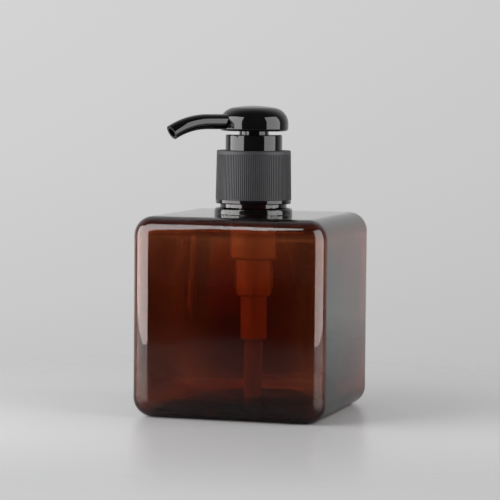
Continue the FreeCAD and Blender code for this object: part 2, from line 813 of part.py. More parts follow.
def make_stem():
    stem = new_body("stem")
    spigot_r = size.stem_spigot / 2
    bore_r = size.stem_bore / 2
    revolved(stem, [
        (outlet_chamber_r, seat_top_z),
        (spigot_r, seat_top_z),
        (spigot_r, stem_shoulder_z),
        (stem_r, stem_shoulder_z),
        (stem_r, stem_top_z),
        (bore_r, stem_top_z),
        (bore_r, outlet_stop_z),
        (outlet_chamber_r, outlet_stop_z),
    ])
    notch = extruded(stem, "Pocket", rectangle(bore_r / 2, outlet_chamber_r, size.outlet_notch / 2),
                     outlet_stop_z, size.outlet_notch_height)
    spread(stem, notch, WAYS_PAST_A_BALL)
    return stem


# Chaplet, which holds the plunger in the housing and locks the head down

def make_chaplet():
    chaplet = new_body("chaplet")
    edge = size.chaplet_edge
    throat_r = hub_r + size.throat_clearance
    catch_r = hub_r + size.catch_ring_clearance
    sleeve_inner_r = sleeve_r - size.chaplet_wall
    guide_r = stem_r + size.guide_clearance
    guide_bottom_z = flange_top_z - size.guide_thickness
    core_top_z = chaplet_top_z - size.chaplet_wall
    revolved(chaplet, [
        (sleeve_inner_r, sleeve_bottom_z),
        (sleeve_r, sleeve_bottom_z),
        (sleeve_r, flange_top_z),
        (throat_wall_r, flange_top_z),
        (throat_wall_r, core_top_z),
        (core_r, core_top_z),
        (core_r, flange_top_z),
        (root_r, flange_top_z),
        (root_r, chaplet_flange_z),
        (chaplet_r, chaplet_flange_z),
        (chaplet_r, chaplet_top_z - edge),
        (chaplet_r - edge, chaplet_top_z, edge, LEFT),
        (catch_r, chaplet_top_z),
        (catch_r, catch_ring_z),
        (lock_chamber_r, catch_ring_z),
        (lock_chamber_r, lock_floor_z),
        (throat_r, lock_floor_z),
        (throat_r, flange_top_z),
        (guide_r, flange_top_z),
        (guide_r, guide_bottom_z),
        (sleeve_inner_r, guide_bottom_z),
    ])
    slot_half_width = size.lug_width / 2 + size.lug_clearance
    slot = extruded(chaplet, "Pocket", rectangle(stem_r, lock_chamber_r, slot_half_width),
                    chaplet_top_z, size.catch_ring_thickness, downwards=True)
    spread(chaplet, slot, LOCK_LUGS)
    turn_to(chaplet, size.spout_direction)
    return chaplet


# Head with its spout

def draw_spout_path(body, name, start_r):
    sketch = new_sketch(body, name, "XZ_Plane")
    tip_r = size.spout_straight + size.spout_bend_radius * sine(size.spout_bend_angle)
    drop = size.spout_bend_radius - size.spout_bend_radius * cosine(size.spout_bend_angle)
    draw_path(sketch, [
        (start_r, spout_z),
        (size.spout_straight, spout_z),
        (tip_r, spout_z - drop, size.spout_bend_radius, RIGHT),
    ], closed=False)
    return sketch


def piped(body, kind, start_r, radius):
    """A round pipe, added or taken away, along the spout from start_r to its tip."""
    path = draw_spout_path(body, "spout_path", start_r)
    ring = new_sketch(body, "spout_ring", "YZ_Plane", None if start_r is ORIGIN else start_r)
    draw_circle(ring, ORIGIN, spout_z, radius)
    doc.recompute()
    pipe = body.newObject(f"PartDesign::{kind}", kind)
    pipe.Profile = ring
    pipe.Spine = (path, ["Edge1", "Edge2"])
    doc.recompute()
    return pipe


def make_actuator():
    actuator = new_body("actuator")
    shoulder = size.head_shoulder
    wall = size.head_wall
    rim = size.head_rim_round
    centre_r = head_r - shoulder
    side_top_z = rim_z + size.head_side
    roof_z = side_top_z + shoulder - wall
    # The crown's arc carries on from the shoulder's, so their centres are in line with the join.
    crown_r = size.head_crown_radius
    crown_rise = leg(crown_r - shoulder, centre_r)
    crown_centre_z = side_top_z - crown_rise
    join_share = crown_r / (crown_r - shoulder)
    bore_r = size.spout_diameter / 2 - size.spout_wall
    passage_r = bore_r + size.passage_overrun
    passage_top_z = spout_z + passage_r
    revolved(actuator, [
        (passage_r, stem_top_z),
        (stem_r, stem_top_z),
        (stem_r, hub_bottom_z),
        (hub_r, hub_bottom_z),
        (hub_r, roof_z),
        (centre_r, roof_z),
        (head_r - wall, side_top_z, shoulder - wall, RIGHT),
        (head_r - wall, rim_z),
        (head_r - rim, rim_z),
        (head_r, rim_z + rim, rim, LEFT),
        (head_r, side_top_z),
        (centre_r * join_share, crown_centre_z + crown_rise * join_share, shoulder, LEFT),
        (ORIGIN, crown_centre_z + crown_r, crown_r, LEFT),
        (ORIGIN, passage_top_z),
        (passage_r, passage_top_z),
    ])
    lug = extruded(actuator, "Pad", rectangle(hub_r - size.lug_root, lug_r, size.lug_width / 2),
                   lug_bottom_z, size.lug_height)
    spread(actuator, lug, LOCK_LUGS)
    piped(actuator, "AdditivePipe", stem_r + size.hub_wall / 2, size.spout_diameter / 2)
    piped(actuator, "SubtractivePipe", ORIGIN, bore_r)
    turn_to(actuator, size.spout_direction)
    return actuator


sub_parts = [
    make_bottle(),
    make_closure(),
    make_gasket(),
    make_housing(),
    make_dip_tube(),
    make_return_spring(),
    make_piston(),
    make_piston_seat(),
    make_stem(),
    make_chaplet(),
    make_actuator(),
    sphere("inlet_ball", inlet_radius, inlet_z),
    sphere("outlet_ball", outlet_radius, outlet_z),
]
doc.recompute()

# Every object has to be sound before anything is written
for thing in doc.Objects:
    if "Invalid" in thing.State or "Error" in thing.State:
        raise RuntimeError(f"{thing.Label} failed to build")
for part in sub_parts:
    if part.Shape.isNull() or not part.Shape.isValid():
        raise RuntimeError(f"{part.Label} has no sound shape")

os.makedirs("parts", exist_ok=True)
for part in sub_parts:
    part.Shape.exportStep(f"parts/{part.Label}.step")
    box = part.Shape.BoundBox
    print(f"{part.Label}: {len(part.Shape.Solids)} solid, {part.Shape.Volume:.1f} mm3,",
          f"z {box.ZMin:.2f} to {box.ZMax:.2f}, {box.XLength:.2f} x {box.YLength:.2f}")
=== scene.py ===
# %% [markdown]
# # A square amber bottle with a lotion pump
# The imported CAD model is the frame: it fixes where every piece sits and which body it moves with.
# This lesson dresses it. The bottle, the ribbed closure and the spring are made again as fine meshes.
# The other CAD pieces, the head among them, keep their shape and get a finish of their own.

# %% Load the frame
import math

import bmesh
import bpy
from mathutils import Matrix, Vector


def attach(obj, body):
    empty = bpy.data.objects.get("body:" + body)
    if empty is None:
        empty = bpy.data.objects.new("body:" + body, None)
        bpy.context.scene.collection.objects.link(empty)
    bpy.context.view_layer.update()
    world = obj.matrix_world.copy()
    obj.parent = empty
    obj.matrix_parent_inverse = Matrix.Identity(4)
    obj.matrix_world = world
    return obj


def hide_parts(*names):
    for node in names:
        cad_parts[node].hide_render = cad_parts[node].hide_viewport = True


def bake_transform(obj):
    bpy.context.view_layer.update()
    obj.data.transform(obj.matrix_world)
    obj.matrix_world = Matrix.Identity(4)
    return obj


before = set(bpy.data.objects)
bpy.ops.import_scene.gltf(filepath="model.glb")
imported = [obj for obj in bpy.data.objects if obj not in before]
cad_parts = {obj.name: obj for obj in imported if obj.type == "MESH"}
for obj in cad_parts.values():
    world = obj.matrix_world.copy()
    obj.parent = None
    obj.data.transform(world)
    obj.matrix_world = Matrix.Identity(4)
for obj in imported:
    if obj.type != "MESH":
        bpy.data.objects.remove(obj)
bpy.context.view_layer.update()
MM = 0.001

# %% [markdown]
# ## Camera
# The view was worked out from the photograph: the edges of a square bottle give the turn, the height
# and the distance of the camera, and a slight roll. A long lens keeps the upright edges nearly
# parallel. The camera could be aimed with a constraint, but its axes are written straight into its
# matrix, so that nothing is left to solve later.

# %% Camera
VIEW_TURN = math.radians(16.55)
VIEW_RISE = math.radians(3.98)
VIEW_ROLL = math.radians(0.51)
VIEW_DISTANCE = 842.1 * MM
VIEW_SHIFT = -1.032 * MM
VIEW_HEIGHT = 55.886 * MM
IMAGE_WIDTH = 500
FOCAL_PIXELS = 2422.57
SENSOR_WIDTH = 36.0
NEAR_CLIP = 10 * MM

to_camera = Vector((
    math.sin(VIEW_TURN) * math.cos(VIEW_RISE),
    -math.cos(VIEW_TURN) * math.cos(VIEW_RISE),
    math.sin(VIEW_RISE),
))
view_right = Vector((math.cos(VIEW_TURN), math.sin(VIEW_TURN), 0))
view_up = to_camera.cross(view_right)
camera_right = view_right * math.cos(VIEW_ROLL) + view_up * math.sin(VIEW_ROLL)
camera_up = view_up * math.cos(VIEW_ROLL) - view_right * math.sin(VIEW_ROLL)
towards_camera = Vector((to_camera.x, to_camera.y, 0)).normalized()
target = Vector((0, 0, VIEW_HEIGHT)) + view_right * VIEW_SHIFT

camera_data = bpy.data.cameras.new("photograph")
camera_data.sensor_width = SENSOR_WIDTH
camera_data.lens = FOCAL_PIXELS * SENSOR_WIDTH / IMAGE_WIDTH
camera_data.clip_start = NEAR_CLIP
camera = bpy.data.objects.new("photograph", camera_data)
axes = Matrix((camera_right, camera_up, to_camera)).transposed().to_4x4()
camera.matrix_world = Matrix.Translation(target + to_camera * VIEW_DISTANCE) @ axes
bpy.context.collection.objects.link(camera)
bpy.context.scene.camera = camera
print(f"camera: lens {camera_data.lens:.1f} mm, {VIEW_DISTANCE:.3f} m away")

# %% [markdown]
# ## Small tools for node trees
# Colours are written as sRGB hex codes, the way a colour picker shows them, and one function turns
# them to the linear values that Blender works in. Another adds any node with its settings and links,
# so that a material reads as a list of what feeds what. The rest start an empty material, set the
# stops of a colour ramp, and turn a real size into the scale of a texture.

# %% Colours and nodes
def srgb(code):
    """The linear colour of an sRGB hex code."""
    shares = [int(code[place:place + 2], 16) / 255 for place in (0, 2, 4)]
    linear = [share / 12.92 if share <= 0.04045 else ((share + 0.055) / 1.055) ** 2.4
              for share in shares]
    return (*linear, 1.0)


def add(tree, kind, inputs=None, **settings):
    """Add a node with its settings, and set or link its inputs."""
    made = tree.nodes.new(kind)
    for name, value in settings.items():
        setattr(made, name, value)
    for name, value in (inputs or {}).items():
        if isinstance(value, bpy.types.NodeSocket):
            tree.links.new(value, made.inputs[name])
        else:
            made.inputs[name].default_value = value
    return made


def blank_material(name):
    """A new material, its empty tree, and the Object coordinates in it."""
    material = bpy.data.materials.new(name)
    material.use_nodes = True
    tree = material.node_tree
    tree.nodes.clear()
    return material, tree, add(tree, "ShaderNodeTexCoord").outputs["Object"]


def set_stops(ramp, stops):
    """Give a colour ramp its stops, each a position and a linear colour."""
    elements = ramp.color_ramp.elements
    while len(elements) < len(stops):
        elements.new(0.5)
    for element, (position, colour) in zip(elements, stops):
        element.position = position
        element.color = colour


def per_metre(size_mm):
    """The texture scale at which one cell of a pattern is so many millimetres wide."""
    return 1 / (size_mm * MM)


print("mid grey 808080 is", round(srgb("808080")[0], 3), "in linear light")

# %% [markdown]
# ## Amber PET
# The bottle is PET, stretched and blown into a polished mould: clear, glossy, and tinted all the way
# through. A tinted surface would give a thick neck the same colour as a thin wall, so the colour sits
# in the volume instead: light loses blue first, then green, and red last, and the thick ring at the
# neck reads almost black. Blown walls are never quite flat, so two slow ripples bend the reflections.

# %% Amber PET
PET_IOR = 1.57
AMBER_DENSITY = 2600.0
MEAN_WALL = 1.3 * MM
AMBER_TINT = "dba34d"
PET_RIPPLE_MM = 21.0
PET_RIPPLE_DEPTH_MM = 0.12
PET_FINE_MM = 6.0
PET_FINE_DEPTH_MM = 0.006
PET_ROUGHNESS = (0.015, 0.05)

amber_pet, tree, place = blank_material("amber_pet_blown")
slow = add(tree, "ShaderNodeTexNoise", {
    "Vector": place, "Scale": per_metre(PET_RIPPLE_MM), "Detail": 1.0, "Roughness": 0.4})
fine = add(tree, "ShaderNodeTexNoise", {
    "Vector": place, "Scale": per_metre(PET_FINE_MM), "Detail": 2.0, "Roughness": 0.5})
slow_bump = add(tree, "ShaderNodeBump", {
    "Height": slow.outputs["Fac"], "Strength": 1.0, "Distance": PET_RIPPLE_DEPTH_MM * MM})
fine_bump = add(tree, "ShaderNodeBump", {
    "Height": fine.outputs["Fac"], "Strength": 1.0, "Distance": PET_FINE_DEPTH_MM * MM,
    "Normal": slow_bump.outputs["Normal"]})
scuff = add(tree, "ShaderNodeMapRange", {
    "Value": fine.outputs["Fac"], "From Min": 0.35, "From Max": 0.7,
    "To Min": PET_ROUGHNESS[0], "To Max": PET_ROUGHNESS[1]})
pet = add(tree, "ShaderNodeBsdfPrincipled", {
    "Base Color": srgb("ffffff"), "Roughness": scuff.outputs["Result"], "IOR": PET_IOR,
    "Transmission Weight": 1.0, "Normal": fine_bump.outputs["Normal"]})
tint = add(tree, "ShaderNodeVolumeAbsorption", {
    "Color": srgb(AMBER_TINT), "Density": AMBER_DENSITY})
add(tree, "ShaderNodeOutputMaterial", {
    "Surface": pet.outputs["BSDF"], "Volume": tint.outputs["Volume"]})
for channel, share in zip("red green blue".split(), tint.inputs["Color"].default_value):
    passed = math.exp(-AMBER_DENSITY * (1 - share) * MEAN_WALL)
    print(f"a wall of the mean thickness passes {passed:.3f} of the {channel}")

# %% [markdown]
# ## Moulded plastics
# The head, the collar and the stem are black polypropylene from a polished mould: they mirror the
# studio, with a faint orange peel. The closure comes from a finely eroded mould, which scatters the
# same light into a satin grey. The housing is natural, milky polypropylene, the dip tube is clearer
# polyethylene, and the piston and its seat are white polyethylene. All are shaped from the melt, so one
# recipe serves: two close shades in slow flow marks, a grain, and a gloss that drifts with the flow.
# The eroded grain of the closure is really finer than a tenth of a millimetre, and is drawn at 0.3 mm
# so that it shows.

# %% Moulded plastics
PP_IOR = 1.49
FLOW_MARK_MM = 9.0
FLOW_RANGE = (0.35, 0.65)
MILK_DEPTH_MM = 0.8
MILK_REACH = (1.0, 0.8, 0.6)


def moulded_plastic(name, shades, roughness, grain_mm, grain_depth_mm, milky=0.0, clear=0.0):
    """A moulded plastic in two close shades, with a grain, more or less milky or clear."""
    material, tree, place = blank_material(name)
    flow = add(tree, "ShaderNodeTexNoise", {
        "Vector": place, "Scale": per_metre(FLOW_MARK_MM), "Detail": 3.0, "Distortion": 0.6})
    grain = add(tree, "ShaderNodeTexNoise", {
        "Vector": place, "Scale": per_metre(grain_mm), "Detail": 2.0})
    bump = add(tree, "ShaderNodeBump", {
        "Height": grain.outputs["Fac"], "Strength": 1.0, "Distance": grain_depth_mm * MM})
    drift = add(tree, "ShaderNodeMapRange", {
        "Value": flow.outputs["Fac"], "From Min": 0.3, "From Max": 0.7,
        "To Min": roughness[0], "To Max": roughness[1]})
    shade = add(tree, "ShaderNodeValToRGB", {"Fac": flow.outputs["Fac"]})
    set_stops(shade, list(zip(FLOW_RANGE, map(srgb, shades))))
    shader = add(tree, "ShaderNodeBsdfPrincipled", {
        "Base Color": shade.outputs["Color"],
        "Roughness": drift.outputs["Result"], "IOR": PP_IOR, "Normal": bump.outputs["Normal"],
        "Transmission Weight": clear, "Subsurface Weight": milky,
        "Subsurface Scale": MILK_DEPTH_MM * MM, "Subsurface Radius": MILK_REACH})
    add(tree, "ShaderNodeOutputMaterial", {"Surface": shader.outputs["BSDF"]})
    print(f"{name}: grain {grain_mm} mm, roughness {roughness[0]} to {roughness[1]}")
    return material


black_gloss = moulded_plastic(
    "black_polypropylene_polished", ("070708", "0a0a0b"), roughness=(0.05, 0.09),
    grain_mm=1.6, grain_depth_mm=0.004)
black_satin = moulded_plastic(
    "black_polypropylene_satin", ("2a2a2d", "2e2e31"), roughness=(0.52, 0.58),
    grain_mm=0.3, grain_depth_mm=0.006)
natural_plastic = moulded_plastic(
    "natural_polypropylene", ("efebe0", "f6f3ea"), roughness=(0.30, 0.38),
    grain_mm=0.6, grain_depth_mm=0.006, milky=0.1)
clear_tube = moulded_plastic(
    "clear_polyethylene_tube", ("e9e4d8", "f1ede3"), roughness=(0.14, 0.20),
    grain_mm=0.8, grain_depth_mm=0.004, clear=0.6)
white_plastic = moulded_plastic(
    "white_polyethylene", ("e9e9e4", "f2f2ee"), roughness=(0.38, 0.46),
    grain_mm=0.5, grain_depth_mm=0.006, milky=0.3)

# %% [markdown]
# ## Steel and foam
# The spring is drawn stainless wire and the balls are ground and polished steel. Drawing leaves fine
# marks and a slight change of gloss, drawn here coarser than they are so that they show. The gasket is
# closed-cell foam sheet: pale, soft to the eye, and pitted with cells a third of a millimetre across.

# %% Steel and foam
STEEL_MARK_MM = 0.35
STEEL_ROUGHNESS = (0.14, 0.26)
FOAM_CELL_MM = 0.35
FOAM_PIT_MM = 0.08

bright_steel, tree, place = blank_material("stainless_steel_drawn")
marks = add(tree, "ShaderNodeTexNoise", {
    "Vector": place, "Scale": per_metre(STEEL_MARK_MM), "Detail": 3.0})
polish = add(tree, "ShaderNodeMapRange", {
    "Value": marks.outputs["Fac"], "From Min": 0.3, "From Max": 0.7,
    "To Min": STEEL_ROUGHNESS[0], "To Max": STEEL_ROUGHNESS[1]})
greys = add(tree, "ShaderNodeValToRGB", {"Fac": marks.outputs["Fac"]})
set_stops(greys, [(0.35, srgb("b4b5b8")), (0.65, srgb("cbccce"))])
steel = add(tree, "ShaderNodeBsdfPrincipled", {
    "Base Color": greys.outputs["Color"],
    "Metallic": 1.0, "Roughness": polish.outputs["Result"]})
add(tree, "ShaderNodeOutputMaterial", {"Surface": steel.outputs["BSDF"]})

white_foam, tree, place = blank_material("closed_cell_foam")
cells = add(tree, "ShaderNodeTexVoronoi", {"Vector": place, "Scale": per_metre(FOAM_CELL_MM)})
pits = add(tree, "ShaderNodeBump", {
    "Height": cells.outputs["Distance"], "Strength": 1.0, "Distance": FOAM_PIT_MM * MM})
whites = add(tree, "ShaderNodeValToRGB", {"Fac": cells.outputs["Distance"]})
set_stops(whites, [(0.1, srgb("d6d6d0")), (0.6, srgb("efefea"))])
foam = add(tree, "ShaderNodeBsdfPrincipled", {
    "Base Color": whites.outputs["Color"],
    "Roughness": 0.85, "Normal": pits.outputs["Normal"]})
add(tree, "ShaderNodeOutputMaterial", {"Surface": foam.outputs["BSDF"]})
print("steel and foam ready")

# %% [markdown]
# ## Rings and skins
# Most of these pieces are stacks of rings: round rings for anything turned, and squares with round
# corners for the bottle. If every ring has the same number of points, a skin of quads between each
# ring and the next closes the shape, inside and outside in one walk. It could also be a modelled
# profile with a Screw modifier, but that could not go from a square to a circle.

# %% Rings and skins
SHARP_ANGLE = math.radians(38)


def arc(centre_r, centre_z, radius, first, last, steps):
    """Points of a profile along an arc, between two angles in degrees."""
    angles = [math.radians(first + (last - first) * step / steps) for step in range(steps + 1)]
    return [(centre_r + radius * math.cos(angle), centre_z + radius * math.sin(angle))
            for angle in angles]


def skin(name, rings, closed):
    """A mesh over a stack of rings. It closes on its first ring, or at a point at each end."""
    mesh = bmesh.new()
    rows = [[mesh.verts.new(Vector(point) * MM) for point in ring] for ring in rings]
    pairs = list(zip(rows, rows[1:]))
    if closed:
        pairs.append((rows[-1], rows[0]))
    for low, high in pairs:
        for here in range(len(low)):
            after = (here + 1) % len(low)
            mesh.faces.new((low[here], low[after], high[after], high[here]))
    if not closed:
        for row, flip in ((rows[0], True), (rows[-1], False)):
            middle = sum((vertex.co for vertex in row), Vector()) / len(row)
            pole = mesh.verts.new(middle)
            for here in range(len(row)):
                edge = (row[here], row[(here + 1) % len(row)])
                mesh.faces.new((*(edge[::-1] if flip else edge), pole))
    bmesh.ops.recalc_face_normals(mesh, faces=mesh.faces)
    data = bpy.data.meshes.new(name)
    mesh.to_mesh(data)
    mesh.free()
    data.shade_smooth()
    data.set_sharp_from_angle(angle=SHARP_ANGLE)
    piece = bpy.data.objects.new(name, data)
    bpy.context.collection.objects.link(piece)
    return piece


def settle(piece):
    """Turn a piece and its modifiers into a plain mesh."""
    depsgraph = bpy.context.evaluated_depsgraph_get()
    data = bpy.data.meshes.new_from_object(piece.evaluated_get(depsgraph), depsgraph=depsgraph)
    piece.modifiers.clear()
    piece.data = data
    return piece


def even_shading(piece):
    """Let the large faces set the normals, so that flats stay flat up to their rounded edges."""
    weigh = piece.modifiers.new("even shading", "WEIGHTED_NORMAL")
    weigh.mode = "FACE_AREA"
    weigh.keep_sharp = True
    return settle(piece)


def dress(piece, material, body, slot, *nodes):
    """Give a finished piece its material and its body, and hide the CAD nodes that it stands for. The
    slot is not used.
    """
    piece.data.materials.clear()
    piece.data.materials.append(material)
    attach(piece, body)
    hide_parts(*nodes)
    print(f"{piece.name}: {len(piece.data.polygons)} faces, rides on {body}")
    return piece


print("a quarter arc in 4 steps:", [tuple(round(x, 2) for x in p) for p in arc(0, 0, 1, 0, 90, 4)])

# %% [markdown]
# ## Bottle
# One blown and moulded piece: a square body with round edges, a hollow under the base, a support
# ring, a plain bead and a screw thread on the neck. The walk starts under the base, goes up the
# outside, over the lip of the neck, and down the inside to the floor. A rounded edge is a stack of
# smaller and smaller squares whose corners tighten by the same amount, which is what a fillet is.
# Blowing stretches the wall most along the edges. It stays thicker in the middles of the sides, so the
# sides of the inner squares sag in there, and the floor inside is a low dome.

# %% Rings of the bottle
BODY_HALF = 33.85
BODY_HEIGHT = 68.5
CORNER_RADIUS = 7.0
EDGE_RADIUS = 6.6
EDGE_WALL = 0.75
MIDDLE_WALL = 1.75
FOOT_THINNING = 0.4
SHOULDER_WALL = 1.3
FLOOR_EDGE_Z = 1.3
SIDE_STEPS = 40
CORNER_STEPS = 16
EDGE_STEPS = 18
NEAR_EDGE = 0.5


def square_ring(half, corner, height, sag=0.0):
    """A ring round a square with round corners, whose sides may sag in at their middles."""
    flat = half - corner
    shares = [2 * step / SIDE_STEPS - 1 for step in range(SIDE_STEPS)]
    side = [(half - sag * (1 - share ** 2), flat * share) for share in shares]
    bend = [(flat + x, flat + y) for x, y in arc(0, 0, corner, 0, 90, CORNER_STEPS)[:-1]]
    ring = []
    for cosine, sine in ((1, 0), (0, 1), (-1, 0), (0, -1)):
        ring += [(x * cosine - y * sine, x * sine + y * cosine, height) for x, y in side + bend]
    return ring


ring_angles = [math.atan2(y, x) for x, y, _ in square_ring(BODY_HALF, CORNER_RADIUS, 0)]


def round_ring(radius, height):
    """A round ring with its points on the same bearings as those of the square rings."""
    return [(radius * math.cos(angle), radius * math.sin(angle), height) for angle in ring_angles]


def rounded_edge(half, corner, radius, height, upwards, sag=0.0):
    """Square rings round a rounded edge, from the flat end face to the upright side."""
    rings = []
    for step in range(EDGE_STEPS + 1):
        angle = math.pi / 2 * step / EDGE_STEPS
        inset = radius * (1 - math.sin(angle))
        rise = radius * (1 - math.cos(angle))
        rings.append(square_ring(half - inset, corner - inset, height + upwards * rise,
                                 sag * math.sin(angle)))
    return rings


def wall_sag(share):
    """How far a side sags in at a share of its height: 1 at the top edge, -1 at the foot."""
    thinning = FOOT_THINNING if share < 0 else 1.0
    return (MIDDLE_WALL - EDGE_WALL) * (1 - thinning * share ** 2)


outside_foot = rounded_edge(BODY_HALF, CORNER_RADIUS, EDGE_RADIUS, 0, 1)
outside_head = rounded_edge(BODY_HALF, CORNER_RADIUS, EDGE_RADIUS, BODY_HEIGHT, -1)
inside = (BODY_HALF - EDGE_WALL, CORNER_RADIUS - EDGE_WALL, EDGE_RADIUS - EDGE_WALL)
inside_foot = rounded_edge(*inside, FLOOR_EDGE_Z, 1, wall_sag(-1))
inside_head = rounded_edge(*inside, BODY_HEIGHT - SHOULDER_WALL, -1)
print(len(ring_angles), "points in each ring")

# %% [markdown]
# The thread is a ridge that climbs one pitch a turn. Instead of a second piece laid on the neck, each
# point of the neck's wall asks how near it is to the middle of the ridge and moves out by that much,
# so the thread grows out of the wall and runs out smoothly at both ends.

# %% Screw thread
THREAD_PITCH = 3.175
THREAD_DEPTH = 1.0
RUN_OUT_TURNS = 0.05


def ridge(angle, height, start_z, turns, foot, crest):
    """Share of the thread's full depth at one place on a wall."""
    share = 0.0
    for whole_turn in range(math.ceil(turns) + 1):
        turn = (angle % (2 * math.pi)) / (2 * math.pi) + whole_turn
        off = abs(height - start_z - THREAD_PITCH * turn)
        slope = min(max((foot - off) / (foot - crest), 0), 1)
        fade = min(max(min(turn, turns - turn) / RUN_OUT_TURNS, 0), 1)
        share = max(share, slope * fade)
    return share


def threaded_wall(angles, radius, depth, low_z, high_z, step, **thread):
    """Rings up a wall with a thread that stands out of it, or into it if the depth is negative."""
    rings = []
    for count in range(round((high_z - low_z) / step) + 1):
        height = low_z + count * step
        radii = [radius + depth * ridge(angle, height, **thread) for angle in angles]
        rings.append([(r * math.cos(angle), r * math.sin(angle), height)
                      for r, angle in zip(radii, angles)])
    return rings


NECK_TOP = 85.5
NECK_WALL = (73.75, 85.15)
WALL_STEP = 0.2
THREAD_ROOT = 10.7
THREAD_DROP = 2.1
THREAD_TURNS = 1.5
THREAD_FOOT = 0.75
THREAD_CREST = 0.45
neck_thread_z = NECK_TOP - THREAD_DROP - THREAD_PITCH * THREAD_TURNS
neck_wall = threaded_wall(ring_angles, THREAD_ROOT, THREAD_DEPTH, *NECK_WALL, WALL_STEP,
                          start_z=neck_thread_z, turns=THREAD_TURNS,
                          foot=THREAD_FOOT, crest=THREAD_CREST)
print(len(neck_wall), "rings up the threaded neck")

# %% Profiles of the base and the neck
PUSH_UP_DEPTH = 1.2
PUSH_UP_ROUND = 0.6
RING_RADIUS = 13.55
RING_ROUND = 1.1
RING_TOP = 70.8
BEAD_RADIUS = 11.6
BEAD_TOP = 73.5
NECK_BORE = 9.2
BORE_ROUND = 0.6
SMALL_ROUND = 0.25

push_up = [
    (6.0, PUSH_UP_DEPTH), (12.0, PUSH_UP_DEPTH), (18.0, PUSH_UP_DEPTH),
    *arc(20.6, PUSH_UP_ROUND, PUSH_UP_ROUND, 90, 0, 6),
    *arc(21.8, PUSH_UP_ROUND, PUSH_UP_ROUND, 180, 270, 6)[1:], (23.4, 0.0),
]
ring_middle = RING_RADIUS - RING_ROUND
support_ring = [
    (19.0, BODY_HEIGHT), (RING_RADIUS + NEAR_EDGE, BODY_HEIGHT),
    *arc(RING_RADIUS + SMALL_ROUND, BODY_HEIGHT + SMALL_ROUND, SMALL_ROUND, 270, 180, 4),
    *arc(ring_middle, RING_TOP - RING_ROUND, RING_ROUND, 0, 90, 10),
    *arc(BEAD_RADIUS + SMALL_ROUND, RING_TOP + SMALL_ROUND, SMALL_ROUND, 270, 180, 4),
    *arc(BEAD_RADIUS - SMALL_ROUND, BEAD_TOP - SMALL_ROUND, SMALL_ROUND, 0, 90, 4),
    *arc(THREAD_ROOT + SMALL_ROUND, BEAD_TOP + SMALL_ROUND, SMALL_ROUND, 270, 180, 4)[:-1],
]
shoulder_z = BODY_HEIGHT - SHOULDER_WALL
neck_lip = [
    *arc(THREAD_ROOT - SMALL_ROUND, NECK_TOP - SMALL_ROUND, SMALL_ROUND, 0, 90, 4),
    *arc(NECK_BORE + SMALL_ROUND, NECK_TOP - SMALL_ROUND, SMALL_ROUND, 90, 180, 4),
    (NECK_BORE, 80.0), (NECK_BORE, 74.0),
    *arc(NECK_BORE + BORE_ROUND, shoulder_z + BORE_ROUND, BORE_ROUND, 180, 270, 6),
    (15.0, shoulder_z),
]
inside_floor = [(27.0, 2.6), (22.0, 4.6), (17.0, 6.2), (11.0, 6.4), (6.0, 5.0), (3.0, 4.2)]
print("inner floor: dome up to", max(height for _, height in inside_floor), "mm")

# %% Bottle
HEIGHT_STEPS = 16

side_middle = BODY_HEIGHT / 2
side_reach = side_middle - EDGE_RADIUS - NEAR_EDGE
side_shares = [2 * step / HEIGHT_STEPS - 1 for step in range(HEIGHT_STEPS + 1)]
outer_side = [square_ring(BODY_HALF, CORNER_RADIUS, side_middle + side_reach * share)
              for share in side_shares]
inner_side = [square_ring(*inside[:2], side_middle + side_reach * share, wall_sag(share))
              for share in reversed(side_shares)]
bottle_rings = [
    *(round_ring(*point) for point in push_up),
    *outside_foot, *outer_side, *reversed(outside_head),
    *(round_ring(*point) for point in support_ring),
    *neck_wall,
    *(round_ring(*point) for point in neck_lip),
    *inside_head, *inner_side, *reversed(inside_foot),
    *(round_ring(*point) for point in inside_floor),
]
bottle = even_shading(skin("bottle_amber", bottle_rings, closed=False))
dress(bottle, amber_pet, "bottle", "amber_plastic", "bottle")

# %% [markdown]
# ## Closure
# A screw cap moulded in black polypropylene: a tapered skirt with a smooth band at each end and fine
# upright grip ribs between them, a flat top with a hole for the collar, and a thread inside. The
# skirt is one closed walk of rings. The ribs repeat all the way round, so Geometry Nodes set them out:
# one rib is drawn, copied on as many points as there are ribs, and each copy is turned by its share of
# a full turn. The lower band is polished, as its sharp reflections show, so its faces take the gloss.

# %% Skirt of the closure
CLOSURE_LIP = 72.2
CLOSURE_TOP = 90.55
CLOSURE_UNDER = 89.3
CLOSURE_BORE = 11.9
LIP_RADIUS = 13.13
TOP_RADIUS = 12.85
CLOSURE_HOLE = 10.05
CLOSURE_BAND = 1.4
CLOSURE_ROUND = 0.35
BORE_EDGE_ROUND = 0.2
HOLE_ROUND = 0.15
RIB_LEDGE = 0.06
RIB_COUNT = 114
RIB_HEIGHT = 0.18
POINTS_PER_RIB = 2

closure_angles = [2 * math.pi * step / (RIB_COUNT * POINTS_PER_RIB)
                  for step in range(RIB_COUNT * POINTS_PER_RIB)]


def turned(profile, angles):
    """Round rings through the points of a profile."""
    return [[(radius * math.cos(angle), radius * math.sin(angle), height) for angle in angles]
            for radius, height in profile]


